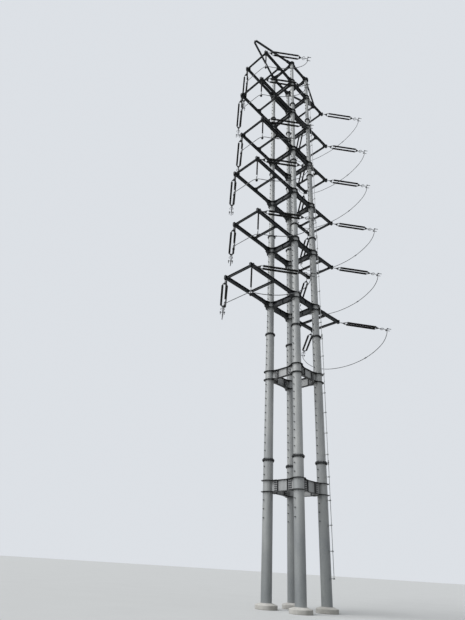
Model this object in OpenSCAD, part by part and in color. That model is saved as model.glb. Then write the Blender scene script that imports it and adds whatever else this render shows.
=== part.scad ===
// Four-column tubular steel transmission tower at half size, millimetres.
// Origin: centre of the underside of the front left pedestal.
// +X runs along the crossarms, +Y across them, +Z up.

/* [Base and columns] */
// Distance between column centres, along and across the crossarms
column_pitch = 1400; // [1000:10:2000]
// Height of the concrete pedestals above the ground
pedestal_h = 180; // [120:5:400]
// Outer diameter of the pedestals
pedestal_d = 740; // [600:10:900]
// Height of the sloping top of the pedestals
pedestal_slope_h = 50; // [20:5:80]
// Width of the level rim between the column and the slope
pedestal_rim = 20; // [5:1:60]
// How far the columns stand down into the pedestals
column_embed = 110; // [60:5:110]
// Outer diameter of the first column section, from the ground up
section_1_d = 370; // [300:5:420]
// Outer diameter of the second column section
section_2_d = 345; // [300:5:400]
// Outer diameter of the third column section
section_3_d = 300; // [250:5:360]
// Outer diameter of the fourth column section
section_4_d = 255; // [220:5:320]
// Outer diameter of the fifth column section
section_5_d = 220; // [180:5:280]
// Outer diameter of the top column section
section_6_d = 190; // [150:5:240]
// Wall of the column tubes
tube_wall = 8; // [5:0.5:16]
// How far a joint flange stands out from the larger tube
flange_reach = 45; // [30:1:80]
// Thickness of one joint flange
joint_flange_t = 16; // [10:1:30]
// Thickness of the lid on each column
lid_t = 10; // [5:1:20]
// Height of the first column joint above the lower ring's middle
joint_1_rise = 925; // [500:5:1500]
// Depth of the second column joint below the first crossarm's middle
joint_2_drop = 1430; // [700:10:1900]
// Height of the third column joint above the second crossarm's middle
joint_3_rise = 910; // [400:10:1300]
// Depth of the fourth column joint below the fourth crossarm's middle
joint_4_drop = 815; // [400:5:1200]
// Height of the fifth column joint above the fifth crossarm's middle
joint_5_rise = 700; // [400:5:1300]

/* [Ring beams] */
// Height of the lower ring's middle above the ground
lower_ring_z = 3760; // [2500:10:4200]
// Depth of the lower ring's beams
lower_ring_depth = 390; // [250:5:450]
// Height of the upper ring's middle above the ground
upper_ring_z = 8030; // [6500:10:8700]
// Depth of the upper ring's beams
upper_ring_depth = 360; // [250:5:450]
// Width of the ring beams' flanges
ring_flange_w = 130; // [90:5:200]
// How far the collar plates stand out from a column
collar_reach = 70; // [50:5:110]
// Length of the flare from a collar plate to a beam's flange
flare_l = 170; // [60:5:240]
// Angle from a beam's line at which its flare leaves the collar plate
flare_turn = 64; // [50:1:75]
// Thickness of all beam flanges and collar plates
plate_t = 8; // [6:1:16]
// Thickness of the beam webs
web_t = 6; // [4:1:12]

/* [Crossarms] */
// Height of the lowest crossarm above the ground
first_arm_z = 11360; // [10600:10:13000]
// Height from one crossarm to the next, for the lower five
arm_pitch = 3000; // [2800:10:3600]
// Height from the fifth crossarm to the sixth
last_arm_pitch = 2710; // [2500:10:3400]
// Height from the sixth crossarm to the top frame
top_pitch = 1780; // [1400:10:2600]
// Reach of the lowest long crossarm on the outer side, beyond the columns
outer_long = 2790; // [2400:10:3400]
// Reach of a short crossarm on the outer side at the lowest level, before the taper
outer_short = 2555; // [2200:10:3200]
// How much shorter the outer reach gets with each level
outer_taper = 45; // [0:5:80]
// Reach of the long crossarms on the inner side, beyond the columns
inner_long = 1800; // [1500:10:2400]
// Reach of the short crossarms on the inner side
inner_short = 1560; // [1300:10:2200]
// Depth of the beams between the columns
bay_depth = 250; // [200:5:320]
// Flange width of the beams between the columns
bay_flange_w = 120; // [90:5:160]
// Depth of the arms beyond the columns
arm_depth = 150; // [110:5:190]
// Flange width of the arms
arm_flange_w = 100; // [80:5:140]
// Length over which an arm deepens to meet the columns
haunch_l = 330; // [200:10:500]
// Height of the arm tips' middle above the middle of the beams between the columns
tip_rise = 100; // [60:5:150]
// Depth of the members that tie the arm tips
end_depth = 100; // [70:5:110]
// Flange width of the members that tie the arm tips
end_flange_w = 70; // [50:5:100]
// Depth of the members that tie the arms half way out
tie_depth = 100; // [50:5:110]
// Flange width of the members that tie the arms half way out
tie_flange_w = 70; // [40:2:100]
// How far an arm and its end member run past each other's middle
tip_out = 110; // [70:5:160]
// Length of the gusset plates beyond the flanges, in the corners of the arms
gusset_l = 150; // [60:10:220]

/* [Top frame and earth wire arms] */
// Depth of the top frame's beams
top_depth = 150; // [110:5:220]
// Reach of the outer earth wire arm beyond the columns
outer_peak = 2530; // [2000:10:3200]
// Reach of the inner earth wire arm beyond the columns
inner_peak = 1760; // [1500:10:2600]
// Width and depth of the earth wire arms' legs
peak_leg = 90; // [50:5:120]
// Distance between the legs' middles at the tip
peak_spread = 120; // [40:5:160]
// Width and depth of the bar between the legs at the tip
peak_bar_w = 50; // [30:2:70]
// Radius of the tip plate of an earth wire arm
peak_plate_r = 70; // [60:1:100]
// Distance of that plate's two holes from its centre, outwards
peak_hole_out = 35; // [25:1:45]
// Distance between those two holes
peak_hole_pitch = 70; // [60:1:80]

/* [Insulator strings] */
// Radius of the shackle holes in the tip plates and ears
tip_hole_r = 13; // [8:0.5:16]
// Radius of the ear round a string's hole
eye_r = 28; // [24:1:40]
// Distance of a string's hole from the arm's edge
eye_out = 30; // [20:1:60]
// Thickness of a shackle's fork
shackle_t = 8; // [5:0.5:14]
// Clear distance between a shackle's fork and the ear, on each side
shackle_gap = 3; // [1:0.5:8]
// Length of a shackle beyond its pin
shackle_l = 60; // [55:1:90]
// Radius of an insulator's end fitting
fitting_r = 16; // [12:1:26]
// Length of an insulator's end fitting
fitting_l = 50; // [30:1:90]
// Thickness of a yoke plate
yoke_t = 12; // [8:1:20]
// Radius of the links and of the clamp bar
bar_r = 10; // [7:0.5:16]
// Radius of the terminal that a jumper hangs from
terminal_r = 18; // [14:1:30]
// Length of that terminal
terminal_l = 52; // [30:1:90]
// Angle of the strings to the right, from the crossarm
right_angle = 41; // [30:1:60]
// Slope of the strings to the right, downwards
right_slope = 4; // [0:0.5:10]
// Angle of the strings that lead away, from the crossarm
away_angle = 48; // [30:1:60]
// Slope of the strings that lead away, downwards
away_slope = 6.5; // [0:0.5:12]
// Length of the link between the tip plate's hole and the first yoke
link_l = 170; // [120:5:400]
// Length of a triangular yoke plate
yoke_l = 130; // [80:5:180]
// Length of an insulator, between the yokes' wide ends
insulator_l = 1470; // [1000:10:2400]
// Outer diameter of the insulator sheds
shed_d = 88; // [60:2:120]
// Distance between the two insulators of a string
twin_pitch = 185; // [160:5:300]
// Length of the rigging between the second yoke and the clamp bar
tail_l = 380; // [200:5:500]
// Outer diameter of a conductor clamp
clamp_d = 34; // [26:1:50]
// Length of a conductor clamp
clamp_l = 190; // [120:5:300]
// Diameter of the hole for the conductor
conductor_hole_d = 14; // [8:0.5:18]
// Depth of the hole for the conductor
conductor_hole_l = 110; // [60:5:140]

/* [Jumpers] */
// Diameter of a jumper cable
jumper_d = 30; // [12:1:34]
// Height of a jumper's support clamp below the middle of the arm tip
support_drop = 1270; // [900:10:1800]
// Diameter of the support strings
support_d = 60; // [30:2:80]
// Diameter of the weight under a support clamp
weight_d = 115; // [60:5:140]
// Height of that weight
weight_h = 115; // [60:5:200]
// Clear distance between a support clamp and the cable
clamp_play = 3; // [1:0.5:8]
// Wall of a support clamp
clamp_wall = 12; // [8:1:24]
// Angle of a support clamp from the line between the arm tips
support_turn = 30; // [0:1:45]

/* [Climbing rail] */
// Height of the foot of the rail above the ground
rail_z = 950; // [400:10:2500]
// Diameter of the rail
rail_d = 22; // [16:1:40]
// Height of the rail's upper end above the sixth crossarm's middle
rail_end_rise = 500; // [200:10:900]
// Distance of the rail's middle beyond the edge of a section's flange
rail_gap = 90; // [50:5:120]
// Spacing of the rail's brackets
rail_bracket_pitch = 800; // [600:10:2000]
// Width of a bracket
rail_bracket_w = 16; // [8:1:18]
// Height of a bracket
rail_bracket_h = 20; // [10:1:24]
// Length of the splice blocks between the rail's lengths
rail_splice_l = 160; // [80:10:300]
// Wall of those blocks round the rail
rail_splice_wall = 4; // [2:1:10]

/* [Hidden] */
$fn = 48;

zinc = [0.66, 0.68, 0.68];
dark_zinc = [0.24, 0.26, 0.27];
concrete = [0.72, 0.71, 0.67];
silicone = [0.36, 0.35, 0.31];
cable = [0.62, 0.63, 0.64];

s = column_pitch;
corners = [[0, 0], [s, 0], [0, s], [s, s]];
levels = [
    first_arm_z,
    first_arm_z + arm_pitch,
    first_arm_z + 2 * arm_pitch,
    first_arm_z + 3 * arm_pitch,
    first_arm_z + 4 * arm_pitch,
    first_arm_z + 4 * arm_pitch + last_arm_pitch
];
top_z = levels[5] + top_pitch;

column_foot = pedestal_h - column_embed;
column_top = top_z + top_depth / 2 + plate_t;
joints = [
    column_foot,
    lower_ring_z + joint_1_rise,
    levels[0] - joint_2_drop,
    levels[1] + joint_3_rise,
    levels[3] - joint_4_drop,
    levels[4] + joint_5_rise,
    column_top
];
section_r = [
    section_1_d / 2, section_2_d / 2, section_3_d / 2,
    section_4_d / 2, section_5_d / 2, section_6_d / 2
];
function section_at(z, i = 0) = i >= 5 || z < joints[i + 1] ? i : section_at(z, i + 1);
function column_r(z) = section_r[section_at(z)];
function is_long(k) = k % 2 == 0;
function outer_reach(k) = (is_long(k) ? outer_long : outer_short) - k * outer_taper;
function inner_reach(k) = is_long(k) ? inner_long : inner_short;
function tip_z(k) = levels[k] + tip_rise;

// How far a cut runs past the face it opens
cut = 1;

// Strings, from the middle of the arm's end to the middle of the clamp bar
string_l = link_l + 2 * yoke_l + insulator_l + tail_l;
eye_y = arm_flange_w / 2 + eye_out;
eye_z = plate_t / 2 - arm_depth / 2;
right_dir = [cos(right_slope) * cos(right_angle), -cos(right_slope) * sin(right_angle), -sin(right_slope)];
away_dir = [cos(away_slope) * cos(away_angle), cos(away_slope) * sin(away_angle), -sin(away_slope)];
right_end = [0, -eye_y, eye_z] + string_l * right_dir;
away_end = [0, s + eye_y, eye_z] + string_l * away_dir;

// Routes of the jumpers from the crossarm tip, chosen by hand.
// The first and last points, where the cable leaves its terminals, are added by the jumper module.
inner_route = [
    [1718, -1571, -330], [1720, -1550, -425], [1715, -1500, -560], [1710, -1405, -720],
    [1700, -1255, -890], [1690, -1030, -1060], [1680, -740, -1220], [1670, -390, -1360],
    [1655, 0, -1460], [1640, 400, -1520], [1620, 800, -1540], [1600, 1200, -1525],
    [1585, 1590, -1475], [1570, 1945, -1390], [1555, 2260, -1275], [1545, 2535, -1130],
    [1535, 2760, -970], [1525, 2930, -810], [1520, 3050, -650], [1517, 3125, -530],
    [1516, 3158, -450]
];
outer_route = [
    [1715, -1571, -330], [1705, -1560, -430], [1672, -1532, -570], [1615, -1480, -720],
    [1530, -1400, -870], [1415, -1295, -1000], [1270, -1162, -1110], [1095, -1002, -1200],
    [900, -825, -1265], [700, -645, -1300], [500, -465, -1310], [315, -295, -1300],
    [148, -155, -1280], [18, -31, -1270], [-18, 31, -1270], [-58, 170, -1275],
    [-72, 420, -1283], [-75, 700, -1287], [-72, 980, -1283], [-58, 1230, -1275],
    [-18, 1369, -1270], [18, 1431, -1270], [130, 1580, -1284], [280, 1755, -1300],
    [455, 1955, -1295], [630, 2160, -1270],
    [805, 2365, -1215], [970, 2555, -1135], [1120, 2722, -1030], [1245, 2865, -905],
    [1348, 2980, -765], [1428, 3066, -620], [1485, 3128, -510], [1510, 3157, -440]
];
cable_sides = 8;

// Pedestals

module pedestal(at) {
    slope_r = section_r[0] + pedestal_rim;
    color(concrete)
    translate([at[0], at[1], 0])
    difference() {
        union() {
            cylinder(r = pedestal_d / 2, h = pedestal_h - pedestal_slope_h);
            translate([0, 0, pedestal_h - pedestal_slope_h])
            cylinder(r1 = pedestal_d / 2, r2 = slope_r, h = pedestal_slope_h);
        }
        translate([0, 0, column_foot])
        cylinder(r = section_r[0], h = pedestal_h);
    }
}

// Columns

module tube_section(i) {
    z0 = joints[i];
    z1 = joints[i + 1];
    low_r = i == 0 ? section_r[0] : section_r[i - 1] + flange_reach;
    high_r = i == 5 ? section_r[5] : section_r[i] + flange_reach;
    difference() {
        union() {
            translate([0, 0, z0])
            cylinder(r = section_r[i], h = z1 - z0);
            translate([0, 0, z0])
            cylinder(r = low_r, h = joint_flange_t);
            translate([0, 0, z1 - joint_flange_t])
            cylinder(r = high_r, h = joint_flange_t);
        }
        translate([0, 0, z0 - cut])
        cylinder(r = section_r[i] - tube_wall, h = z1 - z0 + cut + (i == 5 ? -lid_t : cut));
    }
}

module column_section(i) {
    color(zinc)
    for (c = corners)
        translate([c[0], c[1], 0])
        tube_section(i);
}

// Beams with two flanges and a web

// Straight beam along +X from x0 to x1, its middle at z = 0
module beam(x0, x1, depth, width) {
    translate([x0, -web_t / 2, -depth / 2])
    cube([x1 - x0, web_t, depth]);
    for (z = [-depth / 2, depth / 2 - plate_t])
        translate([x0, -width / 2, z])
        cube([x1 - x0, width, plate_t]);
}

// Height of an arm's middle at x, where it leaves its collar at x0 and its tip is at reach.
// At the collar its upper flange is level with the bay's.
function arm_z(x, x0, reach) =
    let (start = (bay_depth - arm_depth) / 2)
    start + (tip_rise - start) * (x - x0) / (reach - x0);

// Arm along +X from the column's centre past its tip at reach, as deep as the bay until x0
module arm_beam(x0, reach) {
    b = bay_depth / 2;
    xh = x0 + haunch_l;
    x1 = reach + tip_out;
    top = arm_z(x1, x0, reach) + arm_depth / 2;
    under = top - arm_depth;
    under_h = arm_z(xh, x0, reach) - arm_depth / 2;
    rotate([90, 0, 0]) {
        translate([0, 0, -web_t / 2])
        linear_extrude(web_t)
        polygon([[0, -b], [x0, -b], [xh, under_h], [x1, under], [x1, top], [x0, b], [0, b]]);
        translate([0, 0, -arm_flange_w / 2])
        linear_extrude(arm_flange_w) {
            polygon([
                [0, b], [x0, b], [x1, top],
                [x1, top - plate_t], [x0, b - plate_t], [0, b - plate_t]
            ]);
            polygon([
                [0, -b], [x0, -b], [xh, under_h], [x1, under],
                [x1, under + plate_t], [xh, under_h + plate_t], [x0, plate_t - b], [0, plate_t - b]
            ]);
        }
    }
}

// Collar plates round one column, with a flare towards each beam in turns.
// turns holds a quarter turn and a beam width for each beam.
module collar(r, depth, turns) {
    reach = r + collar_reach;
    inside = r + collar_reach / 2;
    side_x = inside * cos(flare_turn);
    side_y = inside * sin(flare_turn);
    for (z = [-depth / 2, depth / 2 - plate_t])
        translate([0, 0, z])
        linear_extrude(plate_t)
        difference() {
            union() {
                circle(r = reach);
                for (t = turns)
                    rotate(90 * t[0])
                    polygon([
                        [0, -side_y], [side_x, -side_y],
                        [reach + flare_l, -t[1] / 2], [reach + flare_l, t[1] / 2],
                        [side_x, side_y], [0, side_y]
                    ]);
            }
            circle(r = r);
        }
}

// Four beams and their collars round the columns, the middle at z = 0
module square_ring(r, depth, width, arm_width = 0) {
    arms = arm_width > 0;
    turns = [
        arms ? [[0, width], [1, width], [2, arm_width]] : [[0, width], [1, width]],
        arms ? [[1, width], [2, width], [0, arm_width]] : [[1, width], [2, width]],
        arms ? [[3, width], [0, width], [2, arm_width]] : [[3, width], [0, width]],
        arms ? [[2, width], [3, width], [0, arm_width]] : [[2, width], [3, width]]
    ];
    difference() {
        union() {
            for (y = [0, s])
                translate([0, y, 0])
                beam(0, s, depth, width);
            for (x = [0, s])
                translate([x, 0, 0])
                rotate(90)
                beam(0, s, depth, width);
        }
        for (c = corners)
            translate([c[0], c[1], -depth])
            cylinder(r = r, h = 2 * depth);
    }
    for (i = [0 : 3])
        translate([corners[i][0], corners[i][1], 0])
        collar(r, depth, turns[i]);
}

module ring(z, depth) {
    color(zinc)
    translate([0, 0, z])
    square_ring(column_r(z), depth, ring_flange_w);
}

// Crossarms

// Ear of the lower flange at an arm tip, with the hole of a string, towards -Y
module tip_ear() {
    translate([0, 0, -arm_depth / 2])
    linear_extrude(plate_t)
    difference() {
        union() {
            translate([-arm_flange_w / 2, 0])
            square([arm_flange_w, arm_flange_w / 2]);
            polygon([
                [-arm_flange_w / 2, 0], [-arm_flange_w / 2, -arm_flange_w / 2], [-eye_r, -eye_y],
                [eye_r, -eye_y], [arm_flange_w / 2, -arm_flange_w / 2], [arm_flange_w / 2, 0]
            ]);
            translate([0, -eye_y])
            circle(r = eye_r);
        }
        translate([0, -eye_y])
        circle(r = tip_hole_r);
    }
}

// Gusset plate between an arm along +X and a member along +Y at x, on its near side or both
module gusset(x, width, both) {
    reach = width / 2 + gusset_l;
    edge = arm_flange_w / 2;
    end = edge + gusset_l;
    near_side = [[-reach, 0], [-reach, edge], [-width / 2, end]];
    far_side = both ? [[width / 2, end], [reach, edge], [reach, 0]] : [[0, end], [0, 0]];
    translate([x, 0, -plate_t / 2])
    linear_extrude(plate_t)
    polygon(concat(near_side, far_side));
}

// The two arms on one side, their end member and their tie, along +X from the columns
module arm_pair(r, reach) {
    tie_z = arm_z(reach / 2, r + collar_reach, reach);
    for (m = [0, 1])
        translate([0, m * s, 0])
        mirror([0, m, 0]) {
            difference() {
                arm_beam(r + collar_reach, reach);
                translate([0, 0, -bay_depth])
                cylinder(r = r, h = 2 * bay_depth);
            }
            translate([reach, 0, tip_rise])
            tip_ear();
            translate([0, 0, tip_rise])
            gusset(reach, end_flange_w, false);
            translate([0, 0, tie_z])
            gusset(reach / 2, tie_flange_w, true);
        }
    translate([reach, 0, tip_rise])
    rotate(90)
    beam(-tip_out, s + tip_out, end_depth, end_flange_w);
    translate([reach / 2, 0, tie_z])
    rotate(90)
    beam(0, s, tie_depth, tie_flange_w);
}

module crossarm(k) {
    z = levels[k];
    r = column_r(z);
    color(dark_zinc)
    translate([0, 0, z])
    union() {
        square_ring(r, bay_depth, bay_flange_w, arm_flange_w);
        mirror([1, 0, 0])
        arm_pair(r, outer_reach(k));
        translate([s, 0, 0])
        arm_pair(r, inner_reach(k));
    }
}

// Top frame and earth wire arms

module top_frame() {
    color(dark_zinc)
    translate([0, 0, top_z])
    square_ring(section_r[5], top_depth, arm_flange_w);
}

// Two legs from the column tops that close in on the middle of the tower, along +X, joined by a bar
module earth_wire_arm(reach) {
    r = section_r[5];
    half = s / 2;
    across = half - peak_spread / 2;
    angle = atan2(across, reach);
    leg_l = sqrt(across * across + reach * reach);
    difference() {
        union() {
            for (m = [0, 1])
                translate([0, m * s, 0])
                mirror([0, m, 0])
                rotate(angle)
                translate([0, -peak_leg / 2, -peak_leg / 2])
                cube([leg_l, peak_leg, peak_leg]);
            translate([reach - peak_bar_w, across, -peak_bar_w / 2])
            cube([peak_bar_w, peak_spread, peak_bar_w]);
            translate([reach, half, -plate_t / 2])
            cylinder(r = peak_plate_r, h = plate_t);
        }
        for (y = [0, s])
            translate([0, y, -top_depth])
            cylinder(r = r, h = 2 * top_depth);
        for (side = [-1, 1])
            translate([reach + peak_hole_out, half + side * peak_hole_pitch / 2, -top_depth])
            cylinder(r = tip_hole_r, h = 2 * top_depth);
    }
}

module outer_earth_wire_arm() {
    color(dark_zinc)
    translate([0, 0, top_z])
    mirror([1, 0, 0])
    earth_wire_arm(outer_peak);
}

module inner_earth_wire_arm() {
    color(dark_zinc)
    translate([s, 0, top_z])
    earth_wire_arm(inner_peak);
}

// Insulator strings

// Turns +X to the direction of a string
module along(angle, slope) {
    rotate([0, 0, angle])
    rotate([0, slope, 0])
    children();
}

// Rod along +X from x0 to x1
module rod(x0, x1, r) {
    translate([x0, 0, 0])
    rotate([0, 90, 0])
    cylinder(r = r, h = x1 - x0);
}

module yoke(x, turn) {
    half = twin_pitch / 2 + fitting_r;
    translate([x, 0, -yoke_t / 2])
    mirror([turn, 0, 0])
    linear_extrude(yoke_t)
    polygon([[0, -eye_r], [yoke_l, -half], [yoke_l, half], [0, eye_r]]);
}

// Shackle round the ear of an arm tip, its pin in the ear's hole
module shackle() {
    gap = plate_t + 2 * shackle_gap;
    h = gap + 2 * shackle_t;
    translate([0, 0, -h / 2])
    cylinder(r = tip_hole_r, h = h);
    difference() {
        translate([0, -tip_hole_r, -h / 2])
        cube([shackle_l, 2 * tip_hole_r, h]);
        translate([-cut, -h, -gap / 2])
        cube([shackle_l - shackle_t + cut, 2 * h, gap]);
    }
}

// One double string from its shackle to its clamps, along +X
module double_string() {
    x1 = link_l;
    x2 = x1 + yoke_l;
    x3 = x2 + insulator_l;
    x4 = x3 + yoke_l;
    rod(shackle_l - shackle_t / 2, x1 + yoke_l / 2, bar_r);
    yoke(x1, 0);
    for (side = [-1, 1])
        translate([0, side * twin_pitch / 2, 0]) {
            rod(x2 - fitting_l / 2, x2 + fitting_l, fitting_r);
            rod(x2 + fitting_l, x3 - fitting_l, shed_d / 2);
            rod(x3 - fitting_l, x3 + fitting_l / 2, fitting_r);
        }
    yoke(x4, 1);
    rod(x4 - yoke_l / 2, string_l, bar_r);
    translate([string_l, -twin_pitch / 2, 0])
    rotate([-90, 0, 0])
    cylinder(r = bar_r, h = twin_pitch);
    for (side = [-1, 1])
        translate([string_l - clamp_d / 2, side * twin_pitch / 2, 0])
        difference() {
            rod(0, clamp_l, clamp_d / 2);
            rod(clamp_l - conductor_hole_l, clamp_l + cut, conductor_hole_d / 2);
        }
}

// The string from a hole at the origin, with the terminal that hangs under its clamp bar at end
module string_from(angle, slope, end) {
    rotate(angle)
    shackle();
    along(angle, slope)
    double_string();
    translate(end - [0, 0, terminal_l])
    cylinder(r = terminal_r, h = terminal_l);
}

// The strings to the right and away at the two tips at x
module string_pair(x, z) {
    translate([x, -eye_y, z + eye_z])
    string_from(-right_angle, right_slope, string_l * right_dir);
    translate([x, s + eye_y, z + eye_z])
    string_from(away_angle, away_slope, string_l * away_dir);
}

module insulator_strings(k) {
    color(silicone) {
        string_pair(-outer_reach(k), tip_z(k));
        string_pair(s + inner_reach(k), tip_z(k));
    }
}

// Jumper supports and jumpers

// Support string under an arm tip, with a clamp round the cable and a weight below
module jumper_support(turn) {
    slot = jumper_d + 2 * clamp_play;
    clamp_w = slot + 2 * clamp_wall;
    rotate(turn)
    difference() {
        union() {
            translate([0, 0, -support_drop])
            cylinder(r = support_d / 2, h = support_drop - arm_depth / 2);
            translate([-clamp_w / 2, -clamp_w / 2, -support_drop - clamp_w / 2])
            cube(clamp_w);
            translate([0, 0, -support_drop - clamp_w / 2 - weight_h])
            cylinder(r = weight_d / 2, h = weight_h + clamp_wall / 2);
        }
        translate([-slot / 2, -weight_d, -support_drop - slot / 2])
        cube([slot, 2 * weight_d, slot]);
    }
}

module jumper_supports() {
    color(dark_zinc)
    for (k = [0 : 5]) {
        translate([-outer_reach(k), 0, tip_z(k)])
        jumper_support(support_turn);
        translate([-outer_reach(k), s, tip_z(k)])
        jumper_support(-support_turn);
    }
}

function unit(v) = v / norm(v);
function ring_points(p, t, r, n) =
    let (side = unit(cross(t, [1, 0, 0])), up = cross(side, t))
    [for (i = [0 : n - 1]) p + r * (cos(360 * i / n) * side + sin(360 * i / n) * up)];
function tangent(path, i) =
    i == 0 ? [0, 0, -1]
    : i == len(path) - 1 ? [0, 0, 1]
    : unit(path[i + 1] - path[i - 1]);

// Tube through the points of path, with level ends
module cable_tube(path, r) {
    n = cable_sides;
    last = len(path) - 1;
    points = [for (i = [0 : last]) each ring_points(path[i], tangent(path, i), r, n)];
    sides = [
        for (i = [0 : last - 1], j = [0 : n - 1])
            let (a = i * n + j, b = i * n + (j + 1) % n)
            [a, b, b + n, a + n]
    ];
    start = [for (j = [n - 1 : -1 : 0]) j];
    end = [for (j = [0 : n - 1]) last * n + j];
    polyhedron(points, concat(sides, [start, end]), convexity = 6);
}

module jumper(x, z, route) {
    under = [0, 0, -terminal_l];
    path = concat([right_end + under], route, [away_end + under]);
    color(cable)
    translate([x, 0, z])
    cable_tube(path, jumper_d / 2);
}

module outer_jumper(k) {
    jumper(-outer_reach(k), tip_z(k), outer_route);
}

module inner_jumper(k) {
    jumper(s + inner_reach(k), tip_z(k), inner_route);
}

// Climbing rail on the front of the front right column

// Distance of the rail from the column's middle along one section
function rail_out(i) = section_r[i] + flange_reach + rail_gap;

module rail_splice(i) {
    w = rail_d + 2 * rail_splice_wall;
    translate([-w / 2, -rail_out(i - 1) - w / 2, joints[i] - rail_splice_l / 2])
    cube([w, rail_out(i - 1) - rail_out(i) + w, rail_splice_l]);
}

module rail_bracket(z) {
    out = rail_out(section_at(z));
    translate([0, 0, z])
    difference() {
        translate([-rail_bracket_w / 2, -out, 0])
        cube([rail_bracket_w, out, rail_bracket_h]);
        translate([0, 0, -cut])
        cylinder(r = column_r(z), h = rail_bracket_h + 2 * cut);
    }
}

// A straight length along each column section, joined by splice blocks
module climbing_rail() {
    end_z = levels[5] + rail_end_rise;
    lengths = concat([rail_z], [for (i = [1 : 5]) joints[i]], [end_z]);
    color(zinc)
    translate([s, 0, 0]) {
        for (i = [0 : 5])
            translate([0, -rail_out(i), lengths[i]])
            cylinder(r = rail_d / 2, h = lengths[i + 1] - lengths[i]);
        for (i = [1 : 5])
            rail_splice(i);
        for (z = [rail_z + rail_d : rail_bracket_pitch : end_z - rail_bracket_h])
            rail_bracket(z);
    }
}

pedestal(corners[0]);  // front_left_pedestal
pedestal(corners[1]);  // front_right_pedestal
pedestal(corners[2]);  // rear_left_pedestal
pedestal(corners[3]);  // rear_right_pedestal
column_section(0);  // column_section_1
column_section(1);  // column_section_2
column_section(2);  // column_section_3
column_section(3);  // column_section_4
column_section(4);  // column_section_5
column_section(5);  // column_section_6
ring(lower_ring_z, lower_ring_depth);  // lower_ring
ring(upper_ring_z, upper_ring_depth);  // upper_ring
crossarm(0);  // crossarm_1
crossarm(1);  // crossarm_2
crossarm(2);  // crossarm_3
crossarm(3);  // crossarm_4
crossarm(4);  // crossarm_5
crossarm(5);  // crossarm_6
top_frame();
outer_earth_wire_arm();
inner_earth_wire_arm();
insulator_strings(0);  // insulator_strings_1
insulator_strings(1);  // insulator_strings_2
insulator_strings(2);  // insulator_strings_3
insulator_strings(3);  // insulator_strings_4
insulator_strings(4);  // insulator_strings_5
insulator_strings(5);  // insulator_strings_6
jumper_supports();
climbing_rail();
outer_jumper(0);  // outer_jumper_1
outer_jumper(1);  // outer_jumper_2
outer_jumper(2);  // outer_jumper_3
outer_jumper(3);  // outer_jumper_4
outer_jumper(4);  // outer_jumper_5
outer_jumper(5);  // outer_jumper_6
inner_jumper(0);  // inner_jumper_1
inner_jumper(1);  // inner_jumper_2
inner_jumper(2);  // inner_jumper_3
inner_jumper(3);  // inner_jumper_4
inner_jumper(4);  // inner_jumper_5
inner_jumper(5);  // inner_jumper_6
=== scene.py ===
"""Looks, camera and light of the half-size tubular steel transmission tower, in metres."""

import math

import bpy
import numpy as np
from mathutils import Matrix, Vector


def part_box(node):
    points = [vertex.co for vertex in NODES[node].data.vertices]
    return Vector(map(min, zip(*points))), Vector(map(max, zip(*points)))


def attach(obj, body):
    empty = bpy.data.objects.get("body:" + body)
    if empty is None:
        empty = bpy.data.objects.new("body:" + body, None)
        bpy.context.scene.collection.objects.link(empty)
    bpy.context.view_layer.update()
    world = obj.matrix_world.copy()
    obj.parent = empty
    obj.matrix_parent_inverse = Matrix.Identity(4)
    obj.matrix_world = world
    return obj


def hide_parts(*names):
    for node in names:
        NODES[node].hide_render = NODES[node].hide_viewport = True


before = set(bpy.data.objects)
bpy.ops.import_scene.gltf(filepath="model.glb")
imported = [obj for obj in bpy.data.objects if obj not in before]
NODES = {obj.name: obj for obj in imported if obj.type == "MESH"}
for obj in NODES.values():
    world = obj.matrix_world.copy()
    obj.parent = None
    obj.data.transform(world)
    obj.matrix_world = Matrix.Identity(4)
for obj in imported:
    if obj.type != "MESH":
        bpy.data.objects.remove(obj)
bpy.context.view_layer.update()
BODY = "root"
LEVEL_COUNT = 6
NUMBERS = range(1, LEVEL_COUNT + 1)
BOTH = (-1, 1)


def middle(node):
    lo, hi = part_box(node)
    return (lo + hi) / 2


def span(node, axis):
    lo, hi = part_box(node)
    return getattr(hi, axis) - getattr(lo, axis)


# Depth of the crossarms' main beams and rise of the arm tips, as in the part's source
BAY_DEPTH = 0.25
TIP_RISE = 0.1

# Sizes read from the frame
PITCH = middle("front_right_pedestal").x - middle("front_left_pedestal").x
CORNERS = [(0, 0), (PITCH, 0), (0, PITCH), (PITCH, PITCH)]
LEVELS = [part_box(f"crossarm_{k}")[0].z + BAY_DEPTH / 2 for k in NUMBERS]
TIP_Z = [z + TIP_RISE for z in LEVELS]
JOINTS = [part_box(f"column_section_{k}")[0].z for k in NUMBERS[1:]]
TOP_Z = middle("top_frame").z
TOP_DEPTH = span("top_frame", "z")
RINGS = {name: (middle(name).z, span(name, "z")) for name in ("lower_ring", "upper_ring")}
PEDESTAL_D = span("front_left_pedestal", "x")
PEDESTAL_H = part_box("front_left_pedestal")[1].z
OUTER_PEAK_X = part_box("outer_earth_wire_arm")[0].x
INNER_PEAK_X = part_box("inner_earth_wire_arm")[1].x

# Sizes of the columns and beams, as in the part's source
SECTION_R = [0.185, 0.1725, 0.15, 0.1275, 0.11, 0.095]
FLANGE_REACH = 0.045
FLANGE_T = 0.016
COLLAR_REACH = 0.07
FLARE_L = 0.17
PLATE_T = 0.008
WEB_T = 0.006
RING_W = 0.13
BAY_W = 0.12
ARM_W = 0.1
ARM_DEPTH = 0.15
ARM_START = (BAY_DEPTH - ARM_DEPTH) / 2
HAUNCH_L = 0.33
END_DEPTH = 0.1
END_W = 0.07
TIE_W = 0.07
TIP_OUT = 0.11
PEAK_LEG = 0.09
PEAK_SPREAD = 0.12
PEAK_PLATE_R = 0.07
OUTER_REACH = [-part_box(f"crossarm_{k}")[0].x - TIP_OUT for k in NUMBERS]
INNER_REACH = [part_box(f"crossarm_{k}")[1].x - PITCH - TIP_OUT for k in NUMBERS]

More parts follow.
